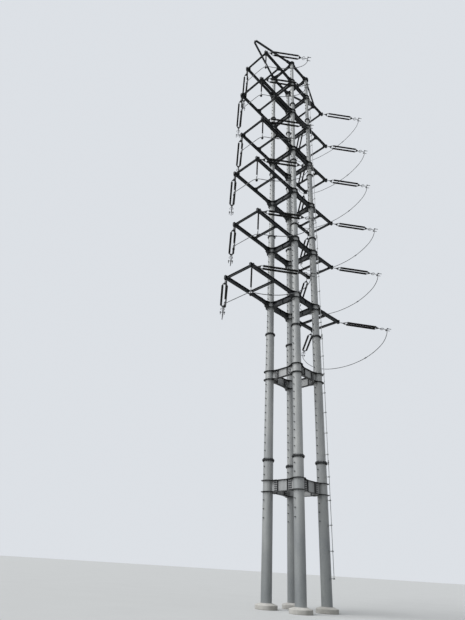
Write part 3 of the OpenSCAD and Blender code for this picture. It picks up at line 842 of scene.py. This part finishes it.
def make_rail_details():
    plates, bolts = Form(), Form()
    z = RAIL_FROM + RAIL_D
    while z < RAIL_TO - RAIL_BRACKET_H:
        rail_clamp(plates, bolts, z)
        z += RAIL_BRACKET_PITCH
    for joint, below_r, above_r in zip(JOINTS, SECTION_R, SECTION_R[1:]):
        y = -(rail_out(below_r) + rail_out(above_r)) / 2
        for dz in RAIL_SPLICE_BOLTS:
            for side in BOTH:
                spot = at(PITCH + side * RAIL_SPLICE_W / 2, y, joint + dz)
                bolts.add(bolt(RAIL_BOLT), spot @ turn_y(90 * side))
    plates.piece("rail_clamps", COLUMN_ZINC, "column_zinc")
    bolts.piece("rail_bolts", BOLT_ZINC, "column_zinc")


make_rail_details()


# Beam details: bolted splices, stiffeners, cleats and end plates

RING_SPLICE_L = 0.14
RING_SPLICE_AT = 0.12
RING_STIFFENER_AT = 0.035
RING_BOLT = 0.0115
RING_BOLTS = (5, 3)
BAY_SPLICE_L = 0.17
BAY_SPLICE_LAP = 0.02
BAY_BOLT = 0.0095
BAY_BOLTS = (3, 4)
ARM_SPLICE_L = 0.16
ARM_SPLICE_GAP = 0.02
ARM_BOLT = 0.008
ARM_BOLTS = (2, 4)
WELD_CLEAR = 0.018
FLANGE_BOLT_AT = 0.32
STIFFENER_OUT = 0.44
CLEAT_L = 0.14
CLEAT_W = 0.034
CLEAT_T = 0.006
CLEAT_BOLTS = 3
CLEAT_BOLT_AT = 0.6
END_INSET = 0.004
END_GAP = 0.001
SIDES = [((0, 0), 0), ((PITCH, 0), 90), ((PITCH, PITCH), 180), ((0, PITCH), 270)]


def beam_place(x, y, z, turn):
    """Place of a beam whose middle line runs along +X from the start point."""
    return at(x, y, z) @ turn_z(turn)


def splice(plates, bolts, place, x, depth, width, plate_l, counts, size):
    """Splice plates on both sides of the web and on both flanges of a beam, with their bolts.

    counts are the web's rows of bolts and the bolts along each row.
    """
    rows, columns = counts
    half = plate_l / 2
    web_h = depth / 2 - PLATE_T - WELD_CLEAR
    along = [x + b for b in spread(columns, plate_l)]
    for side in BOTH:
        outside = side * (WEB_T / 2 + PLATE_T)
        low, high = sorted((side * WEB_T / 2, outside))
        plates.add(slab((x - half, low, -web_h), (x + half, high, web_h)), place)
        for bx in along:
            for bz in spread(rows, 2 * web_h):
                bolts.add(bolt(size), place @ at(bx, outside, bz) @ turn_x(-90 * side))
        outside = side * (depth / 2 + PLATE_T)
        low, high = sorted((side * depth / 2, outside))
        plates.add(slab((x - half, -width / 2, low), (x + half, width / 2, high)), place)
        for bx in along:
            for across in BOTH:
                spot = at(bx, across * width * FLANGE_BOLT_AT, outside)
                bolts.add(bolt(size), place @ spot @ turn_x(0 if side > 0 else 180))


def stiffener(plates, place, x, depth, width):
    """Upright plates across the beam on both sides of its web."""
    high = depth / 2 - PLATE_T
    for side in BOTH:
        y = sorted((side * WEB_T / 2, side * width * STIFFENER_OUT))
        plates.add(slab((x - PLATE_T / 2, y[0], -high), (x + PLATE_T / 2, y[1], high)), place)


def cleats(plates, bolts, corner, width):
    """Bolted angles that hold a gusset plate to two webs: the arm's along +X and the member's along +Y."""
    along_x = at(width / 2, WEB_T / 2, 0)
    along_y = at(WEB_T / 2, ARM_W / 2, 0) @ Matrix.Diagonal((1, -1, 1, 1)) @ turn_z(-90)
    for line in (along_x, along_y):
        for flip in (1, -1):
            place = corner @ line @ Matrix.Diagonal((1, 1, flip, 1)) @ at(0, 0, PLATE_T / 2)
            plates.add(slab((0, 0, 0), (CLEAT_L, CLEAT_W, CLEAT_T)), place)
            plates.add(slab((0, 0, CLEAT_T), (CLEAT_L, CLEAT_T, CLEAT_W)), place)
            for n in range(CLEAT_BOLTS):
                spot = at(CLEAT_L * (n + 0.5) / CLEAT_BOLTS, CLEAT_W * CLEAT_BOLT_AT, CLEAT_T)
                bolts.add(bolt(ARM_BOLT), place @ spot)


def end_plate(plates, place, x, depth, width):
    """Plate that closes a beam's open end, just inside x."""
    half, high = width / 2 - END_INSET, depth / 2 - PLATE_T
    plates.add(slab((x - PLATE_T, -half, -high), (x - END_GAP, half, high)), place)


def make_ring_details(name, z, depth):
    first = column_r(z) + RING_SPLICE_AT + RING_SPLICE_L / 2
    upright = first + RING_SPLICE_L / 2 + RING_STIFFENER_AT
    plates, stiffeners, bolts = Form(), Form(), Form()
    for (x, y), turn in SIDES:
        place = beam_place(x, y, z, turn)
        for at_x in (first, PITCH - first):
            splice(plates, bolts, place, at_x, depth, RING_W, RING_SPLICE_L, RING_BOLTS, RING_BOLT)
        for at_x in (upright, PITCH - upright):
            stiffener(stiffeners, place, at_x, depth, RING_W)
    # Splices and stiffeners in a colour darkened as painted shade
    plates.piece(f"{name}_splices", SPLICE_SHADE_ZINC, "ring_zinc")
    stiffeners.piece(f"{name}_stiffeners", SPLICE_SHADE_ZINC, "ring_zinc")
    # Bolts in a colour brightened as painted highlights
    bolts.piece(f"{name}_bolts", HIGHLIGHT_BOLT_ZINC, "ring_zinc")


def bay_splices(plates, bolts, place, r, depth, width, counts, size):
    """Splices near both ends of a beam between two columns of radius r."""
    first = r + COLLAR_REACH + FLARE_L + BAY_SPLICE_L / 2 - BAY_SPLICE_LAP
    for at_x in (first, PITCH - first):
        splice(plates, bolts, place, at_x, depth, width, BAY_SPLICE_L, counts, size)


def arm_details(plates, bolts, z, side, x, reach):
    """Splices, stiffeners, cleats and end plates of the two arms and the tip member on one side."""
    leaves = column_r(z) + COLLAR_REACH
    rise = TIP_RISE - ARM_START
    tie = reach / 2
    joint = leaves + HAUNCH_L + ARM_SPLICE_L / 2 + ARM_SPLICE_GAP
    slope = math.degrees(math.atan2(rise, reach - leaves))

    def raised(along):
        return at(0, 0, ARM_START + rise * (along - leaves) / (reach - leaves))

    for y in (0, PITCH):
        place = beam_place(x, y, z, side)
        inward = 1 if (y == 0) == (side == 0) else -1
        tilted = place @ at(joint, 0, 0) @ raised(joint) @ turn_y(-slope)
        splice(plates, bolts, tilted, 0, ARM_DEPTH, ARM_W, ARM_SPLICE_L, ARM_BOLTS, ARM_BOLT)
        for along in (leaves + HAUNCH_L, tie, reach):
            stiffener(plates, place @ raised(along), along, ARM_DEPTH, ARM_W)
        for gx, flip, width in ((tie, 1, TIE_W), (tie, -1, TIE_W), (reach, -1, END_W)):
            corner = place @ at(gx, 0, 0) @ raised(gx)
            cleats(plates, bolts, corner @ Matrix.Diagonal((flip, inward, 1, 1)), width)
        end_plate(plates, place @ raised(reach + TIP_OUT), reach + TIP_OUT, ARM_DEPTH, ARM_W)
        member = place @ at(reach, 0, TIP_RISE) @ turn_z(-90 * inward)
        end_plate(plates, member, TIP_OUT, END_DEPTH, END_W)


def make_crossarm_details(k):
    plates, bolts = Form(), Form()
    z = LEVELS[k]
    for (x, y), turn in SIDES:
        place = beam_place(x, y, z, turn)
        bay_splices(plates, bolts, place, column_r(z), BAY_DEPTH, BAY_W, BAY_BOLTS, BAY_BOLT)
        stiffener(plates, place, PITCH / 2, BAY_DEPTH, BAY_W)
    for side, x, reach in ((180, 0, OUTER_REACH[k]), (0, PITCH, INNER_REACH[k])):
        arm_details(plates, bolts, z, side, x, reach)
    plates.piece(f"crossarm_{k + 1}_plates", ARM_STEEL, "arm_steel")
    bolts.piece(f"crossarm_{k + 1}_bolts", FITTING_ZINC, "arm_steel")


for name, (z, depth) in RINGS.items():
    make_ring_details(name, z, depth)
for k in range(LEVEL_COUNT):
    make_crossarm_details(k)


# Top frame: splices, and cover plates on the roots of the earth wire arms

COVER_FROM, COVER_TO = 0.03, 0.30
COVER_PAST = 0.02
COVER_BOLTS = 4
COVER_BOLT_FROM, COVER_BOLT_STEP = 0.10, 0.05
COVER_BOLT_AT = 0.5


def cover_plates(plates, bolts, place, r):
    """Bolted plates over and under the root of an earth wire arm's leg, which runs along +X."""
    half = PEAK_LEG / 2
    for side in (1, -1):
        outside = side * (half + PLATE_T)
        low, high = sorted((side * half, outside))
        edge = half + COVER_PAST
        plates.add(slab((r + COVER_FROM, -edge, low), (r + COVER_TO, edge, high)), place)
        for n in range(COVER_BOLTS):
            for across in BOTH:
                spot = at(r + COVER_BOLT_FROM + COVER_BOLT_STEP * n, across * half * COVER_BOLT_AT, outside)
                bolts.add(bolt(ARM_BOLT), place @ spot @ turn_x(0 if side > 0 else 180))


def make_top_details():
    plates, bolts = Form(), Form()
    r = column_r(TOP_Z)
    for (x, y), turn in SIDES:
        place = beam_place(x, y, TOP_Z, turn)
        bay_splices(plates, bolts, place, r, TOP_DEPTH, ARM_W, ARM_BOLTS, ARM_BOLT)
    for tip, x, side in ((OUTER_PEAK_X, 0, 180), (INNER_PEAK_X, PITCH, 0)):
        reach = abs(tip - x) - PEAK_PLATE_R
        leg = math.degrees(math.atan2((PITCH - PEAK_SPREAD) / 2, reach))
        for y in (0, PITCH):
            inward = 1 if (y == 0) == (side == 0) else -1
            cover_plates(plates, bolts, beam_place(x, y, TOP_Z, side + inward * leg), r)
    plates.piece("top_frame_plates", ARM_STEEL, "arm_steel")
    bolts.piece("top_frame_bolts", FITTING_ZINC, "arm_steel")


make_top_details()


# Insulator strings. Each runs along +X from the eye at the arm tip, with its yokes flat.

SHED_STEP = 0.022
SMALL_SHED = 0.95
SHED_EDGE, SHED_ROOT_UNDER, SHED_ROOT_OVER = 0.27, 0.42, 0.36
SHED_FROM = 0.075
SHED_SIDES = 14
SHED_LIP = 0.004
CORE_R = 0.034
STRING_BOLT = 0.009
LINK_BOLT = 0.010
LINK_FACE = 0.0105
HALF_TWIN = TWIN / 2
RODS_FROM = LINK_L + YOKE_L
RODS_TO = RODS_FROM + INSULATOR_L
YOKE_END = RODS_TO + YOKE_L
STRINGS = ((-EYE_Y, -RIGHT_ANGLE, RIGHT_SLOPE), (PITCH + EYE_Y, AWAY_ANGLE, AWAY_SLOPE))


def insulator(length, core_r, shed_r, step):
    """Long rod along +Z from 0 with large and small sheds in turn."""
    profile = [(0, 0), (core_r, 0)]
    count = int(length / step)
    start = (length - (count - 1) * step) / 2
    for n in range(count):
        z = start + n * step
        r = shed_r if n % 2 == 0 else shed_r * SMALL_SHED
        profile += [(core_r, z - SHED_ROOT_UNDER * step), (r, z - SHED_EDGE * step),
                    (r, z + SHED_EDGE * step), (core_r, z + SHED_ROOT_OVER * step)]
    profile += [(core_r, length), (0, length)]
    return turned(profile, SHED_SIDES)


def end_fitting(r, length):
    """Crimped steel sleeve along +Z from 0, with a collar at its end."""
    return turned([
        (0, 0), (r * 0.62, 0), (r * 0.62, length * 0.25), (r, length * 0.3), (r, length * 0.5),
        (r * 0.8, length * 0.58), (r * 0.8, length * 0.92), (r * 0.95, length), (0, length),
    ], 12)


def arcing_ring():
    """Open round bar about the string's lower end, flat like its yokes."""
    centre_x, r, tube_r = YOKE_END + 0.15, 0.088, 0.011
    turns = [math.radians(a) for a in range(-140, 141, 14)]
    return swept([(centre_x - r * math.cos(a), r * math.sin(a), 0) for a in turns], tube_r, 8)


PIN_R = TIP_HOLE_R - 0.001
PIN = turned([(0, -0.026), (0.017, -0.026), (0.017, -0.018), (PIN_R, -0.018),
              (PIN_R, 0.018), (0.017, 0.018), (0.017, 0.026), (0, 0.026)], 12)
BOW = swept([(0, 0, 0.012), (0.034, 0, 0.012), (0.048, 0, 0.008), (0.054, 0, 0),
             (0.048, 0, -0.008), (0.034, 0, -0.012), (0, 0, -0.012)], 0.0065, 8)
YOKE_OUTLINE = [(0, -EYE_R), (YOKE_L, -HALF_TWIN - FITTING_R), (YOKE_L, HALF_TWIN + FITTING_R), (0, EYE_R)]
YOKE = prism(rounded(YOKE_OUTLINE, 0.012), -YOKE_T / 2, YOKE_T / 2)
ROD = insulator(INSULATOR_L - 2 * FITTING_L, CORE_R, SHED_R + SHED_LIP, SHED_STEP)
UPPER_FITTING = end_fitting(FITTING_R, SHED_FROM + 0.025)
LOWER_FITTING = end_fitting(FITTING_R, FITTING_L)
CLAMP = turned([
    (0, 0), (CLAMP_R * 0.7, 0), (CLAMP_R, 0.012), (CLAMP_R, 0.08), (CLAMP_R * 0.86, 0.09),
    (CLAMP_R * 0.86, CLAMP_L - 0.02), (CLAMP_R * 0.7, CLAMP_L), (CONDUCTOR_R, CLAMP_L),
    (CONDUCTOR_R, CLAMP_L - CONDUCTOR_L), (0, CLAMP_L - CONDUCTOR_L),
], 16)
LUG = turned([(0, -0.034), (0.022, -0.034), (0.030, -0.026), (0.030, 0.026), (0.022, 0.034), (0, 0.034)], 14)
ARCING_RING = arcing_ring()
CROSSBAR = swept([(STRING_L, -HALF_TWIN, 0), (STRING_L, HALF_TWIN, 0)], BAR_R, 10)
TERMINAL = turned([(0, -TERMINAL_L), (TERMINAL_R * 0.8, -TERMINAL_L), (TERMINAL_R * 0.8, -0.02),
                   (TERMINAL_R, -0.012), (TERMINAL_R, 0.008), (0, 0.012)], 14)
TERMINAL_WEB = slab((-0.022, -0.004, -0.046), (0.022, 0.004, 0.002))


def add_shackle(steel, level, place):
    """Pin and bow in the arm tip's ear, the link and its straps, and both yokes."""
    steel.add(PIN, level)
    steel.add(BOW, level)
    steel.add(slab((0.046, -0.013, -0.004), (0.118, 0.013, 0.004)), place)
    for side in BOTH:
        low, high = sorted((side * 0.0045, side * LINK_FACE))
        steel.add(slab((0.100, -0.015, low), (LINK_L + 0.026, 0.015, high)), place)
    for x in (0.108, LINK_L + 0.016):
        bolt_through(steel, place, LINK_BOLT, x, LINK_FACE)
    steel.add(YOKE, place @ at(LINK_L, 0, 0))
    steel.add(YOKE, place @ at(YOKE_END, 0, 0) @ turn_z(180))


def add_rods(sheds, steel, alloy, place):
    """Both insulators with their fittings, and the conductor clamps in line with them."""
    for side in BOTH:
        line = place @ at(0, side * HALF_TWIN, 0)
        sheds.add(ROD, line @ at(RODS_FROM + SHED_FROM, 0, 0) @ turn_y(90))
        steel.add(UPPER_FITTING, line @ at(RODS_FROM - 0.015, 0, 0) @ turn_y(90))
        steel.add(LOWER_FITTING, line @ at(RODS_TO + 0.015, 0, 0) @ turn_y(-90))
        for x in (RODS_FROM - 0.012, RODS_TO + 0.012):
            bolt_through(steel, line, STRING_BOLT, x, YOKE_T / 2)
        alloy.add(CLAMP, line @ at(STRING_L - CLAMP_R, 0, 0) @ turn_y(90))
        alloy.add(LUG, line @ at(STRING_L, 0, 0) @ turn_y(90))


def add_tail(steel, alloy, place, end):
    """Strap, arcing ring and crossbar behind the second yoke, and the jumper's terminal."""
    steel.add(slab((YOKE_END - 0.02, -0.014, -0.005), (STRING_L - 0.01, 0.014, 0.005)), place)
    for x in (YOKE_END - 0.012, YOKE_END + 0.06, STRING_L - 0.04):
        bolt_through(steel, place, STRING_BOLT, x, 0.006)
    steel.add(ARCING_RING, place)
    steel.add(CROSSBAR, place)
    alloy.add(TERMINAL, end)


def make_strings(k):
    sheds, steel, alloy = Form(), Form(), Form()
    for x in (-OUTER_REACH[k], PITCH + INNER_REACH[k]):
        for y, angle, slope in STRINGS:
            eye = at(x, y, TIP_Z[k] + EYE_Z)
            level = eye @ turn_z(angle)
            place = level @ turn_y(slope)
            end = eye @ Matrix.Translation(place.to_3x3() @ Vector((STRING_L, 0, 0)))
            add_shackle(steel, level, place)
            add_rods(sheds, steel, alloy, place)
            add_tail(steel, alloy, place, end)
            alloy.add(TERMINAL_WEB, end @ turn_z(angle))
    insulators = sheds.piece(f"insulators_{k + 1}", SILICONE, "insulator", smooth_under=70)
    fittings = steel.piece(f"string_fittings_{k + 1}", FITTING_ZINC, "insulator", smooth_under=40)
    clamps = alloy.piece(f"conductor_clamps_{k + 1}", CLAMP_METAL, "cable", smooth_under=40)
    for piece in (insulators, fittings, clamps):
        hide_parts(f"insulator_strings_{k + 1}")


for k in range(LEVEL_COUNT):
    make_strings(k)


# Jumper supports, with heights from the arm's middle line

SUPPORT_CORE_R = 0.029
SUPPORT_SHED_STEP = 0.018
SUPPORT_TOP = -ARM_DEPTH / 2
PALE_FITTING_L = 0.15
ROD_TOP = SUPPORT_TOP - 0.075
ROD_FOOT = -SUPPORT_DROP + 0.09 + PALE_FITTING_L
HANGER_TOP = -SUPPORT_DROP + 0.10
HANGER_IN, HANGER_OUT = 0.026, 0.032
BOAT_L, BOAT_H = 0.062, 0.029
WEIGHT_STEPS, WEIGHT_SIDES = 14, 28
WEIGHT_FULLNESS = 0.65


def support_weight():
    """Rounded weight along +Z from 0."""
    turns = [math.pi * n / WEIGHT_STEPS for n in range(WEIGHT_STEPS + 1)]
    side = [(WEIGHT_R * math.sin(a) ** WEIGHT_FULLNESS, WEIGHT_H / 2 * (1 - math.cos(a))) for a in turns[1:-1]]
    return turned([(0, 0)] + side + [(0, WEIGHT_H)], WEIGHT_SIDES)


SUPPORT_ROD = insulator(ROD_TOP - ROD_FOOT, SUPPORT_CORE_R, SUPPORT_R + SHED_LIP, SUPPORT_SHED_STEP)
SUPPORT_FITTING = end_fitting(0.02, 0.05)
PALE_FITTING = end_fitting(0.026, PALE_FITTING_L)
WEIGHT = support_weight()
BOAT = prism(rounded([
    (-BOAT_L, -0.008), (-0.035, -BOAT_H), (0.035, -BOAT_H), (BOAT_L, -0.008),
    (BOAT_L, 0.016), (0.035, BOAT_H), (-0.035, BOAT_H), (-BOAT_L, 0.016),
], 0.004, 2), -HANGER_IN, HANGER_IN)


def add_support(sheds, steel, alloy, weights, place):
    """Hanging plate and rod, the insulator, and the hanger with its clamp and weight."""
    top = SUPPORT_TOP
    steel.add(slab((-0.035, -0.03, top - PLATE_T), (0.035, 0.03, top)), place)
    steel.add(slab((-0.004, -0.015, top - 0.04), (0.004, 0.015, top)), place)
    steel.add(swept([(0, 0, top - 0.02), (0, 0, ROD_TOP + 0.01)], 0.006, 8), place)
    for y in (-0.019, 0.019):
        for x in (-0.024, 0.024):
            steel.add(bolt(0.007), place @ at(x, y, top - PLATE_T) @ turn_x(180))
    sheds.add(SUPPORT_ROD, place @ at(0, 0, ROD_FOOT))
    steel.add(SUPPORT_FITTING, place @ at(0, 0, ROD_TOP + 0.03) @ turn_x(180))
    alloy.add(PALE_FITTING, place @ at(0, 0, ROD_FOOT + 0.005 - PALE_FITTING_L))
    for side in BOTH:
        low, high = sorted((side * HANGER_IN, side * HANGER_OUT))
        steel.add(slab((low, -0.014, -SUPPORT_DROP - 0.036), (high, 0.014, HANGER_TOP)), place)
        steel.add(bolt(STRING_BOLT), place @ at(side * HANGER_OUT, 0, -SUPPORT_DROP) @ turn_y(90 * side))
    steel.add(slab((-HANGER_OUT, -0.012, HANGER_TOP - 0.012), (HANGER_OUT, 0.012, HANGER_TOP)), place)
    alloy.add(BOAT, place @ at(0, 0, -SUPPORT_DROP) @ turn_z(90) @ turn_x(90))
    weights.add(WEIGHT, place @ at(0, 0, -SUPPORT_DROP - BOAT_H + 0.004 - WEIGHT_H))


def make_supports():
    sheds, steel, alloy, weights = Form(), Form(), Form(), Form()
    for k in range(LEVEL_COUNT):
        for y, turn in ((0, SUPPORT_TURN), (PITCH, -SUPPORT_TURN)):
            add_support(sheds, steel, alloy, weights, at(-OUTER_REACH[k], y, TIP_Z[k]) @ turn_z(turn))
    pieces = (
        sheds.piece("support_insulators", SILICONE, "insulator", smooth_under=70),
        steel.piece("support_fittings", FITTING_ZINC, "insulator", smooth_under=40),
        alloy.piece("support_clamps", ALUMINIUM, "cable", smooth_under=40),
        weights.piece("support_weights", WEIGHT_PAINT, "insulator", smooth_under=40),
    )
    for piece in pieces:
        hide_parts("jumper_supports")


make_supports()


# Floor, backdrop and light

FLOOR_R = 400
FLOOR_SIDES = 96
FLOOR_SHOWN = (0.60, 0.61, 0.61)
FLOOR_PATCHES = 0.97
FLOOR_BOUNCE = (0.20, 0.20, 0.19)
SKY_COLOUR = (0.72, 0.75, 0.79)
SKY_TINT = (0.95, 0.98, 1.0)
SKY_LIGHT = 0.42
KEY_LIGHT = 2.5
KEY_ANGLE = 50
KEY_TOWARDS = (0.97, -0.3, -1.0)


def seen_rays(tree):
    """1 for rays that show the backdrop, straight, in a gloss or through glass, 0 for the others."""
    rays = new_node(tree, "LightPath")
    seen = rays.outputs["Is Camera Ray"]
    for kind in ("Is Glossy Ray", "Is Transmission Ray"):
        seen = computed(tree, "MAXIMUM", seen, rays.outputs[kind])
    return seen


def make_floor():
    mesh = bpy.data.meshes.new("floor")
    points = [(x + PITCH / 2, y + PITCH / 2, 0) for x, y in polygon(FLOOR_SIDES, FLOOR_R)]
    mesh.from_pydata(points, [], [tuple(range(FLOOR_SIDES))])
    material, tree, shader = new_material("floor")
    shown = ramp(tree, noise(tree, 0.5), tuple(FLOOR_PATCHES * c for c in FLOOR_SHOWN), FLOOR_SHOWN)
    colour = mixed(tree, "MIX", seen_rays(tree), FLOOR_BOUNCE, shown)
    fill(tree, shader, {"Base Color": colour, "Roughness": 0.9})
    mesh.materials.append(material)
    placed("floor", mesh)


def make_world():
    world = bpy.data.worlds.new("studio")
    bpy.context.scene.world = world
    world.use_nodes = True
    tree = world.node_tree
    tree.nodes.clear()
    light = new_node(tree, "Background", {"Color": SKY_TINT, "Strength": SKY_LIGHT}).outputs[0]
    shown = new_node(tree, "Background", {"Color": SKY_COLOUR}).outputs[0]
    mix = new_node(tree, "MixShader", {0: seen_rays(tree), 1: light, 2: shown})
    new_node(tree, "OutputWorld", {"Surface": mix.outputs[0]})


def make_key_light():
    sun = bpy.data.lights.new("key", "SUN")
    sun.energy = KEY_LIGHT
    sun.angle = math.radians(KEY_ANGLE)
    key = placed("key", sun)
    key.rotation_mode = "QUATERNION"
    key.rotation_quaternion = Vector(KEY_TOWARDS).to_track_quat("-Z", "Y")


make_floor()
make_world()
make_key_light()
bpy.context.scene.view_settings.view_transform = "Standard"

bpy.context.view_layer.update()
